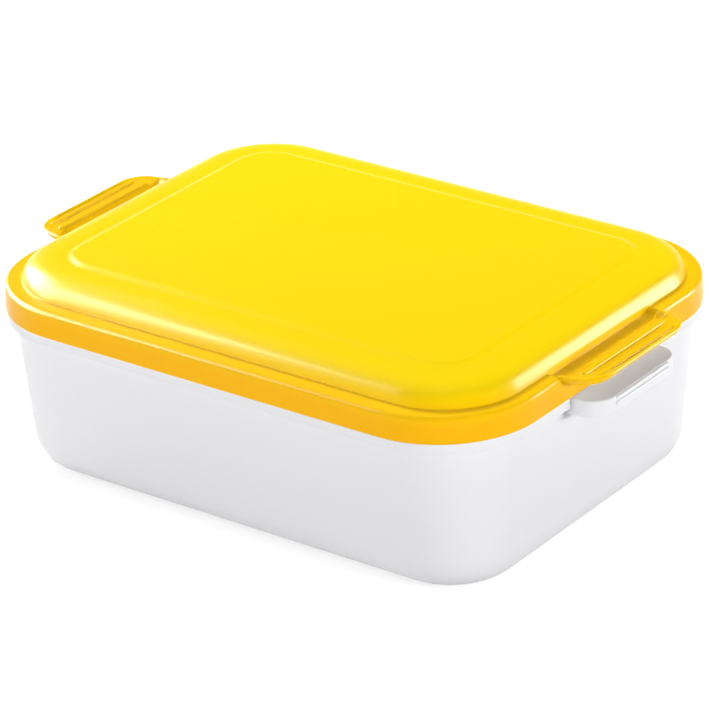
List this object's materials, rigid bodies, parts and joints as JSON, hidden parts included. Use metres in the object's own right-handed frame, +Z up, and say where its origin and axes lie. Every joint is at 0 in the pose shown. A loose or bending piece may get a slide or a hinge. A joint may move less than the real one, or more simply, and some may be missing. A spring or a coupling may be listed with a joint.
{
  "type": "lunch box",
  "caption": "Rectangular snap-lid food box: a white drafted tub with grip ledges under a domed yellow lid with pull tabs, for keeping and carrying food.",
  "frame": {"origin": "middle of the base, on the surface that the box stands on", "axes": "+X along the box through the two lid tabs, +Y across it, +Z up and the way the lid lifts off"},
  "size_m": [0.195, 0.1352, 0.0638],
  "materials": {
    "tub_plastic": "white polypropylene, smooth and softly satin, very slightly translucent",
    "lid_plastic": "warm yellow polypropylene, satin gloss with soft highlights along its edges"
  },
  "bodies": {
    "tub_body": {"tub": "tub_plastic"},
    "lid_body": {"lid": "lid_plastic"}
  },
  "joints": [
    {"name": "lid_lift", "type": "slide", "parent": "tub_body", "child": "lid_body", "axis": [0, 0, 1], "range_m": [0, 0.08]}
  ]
}
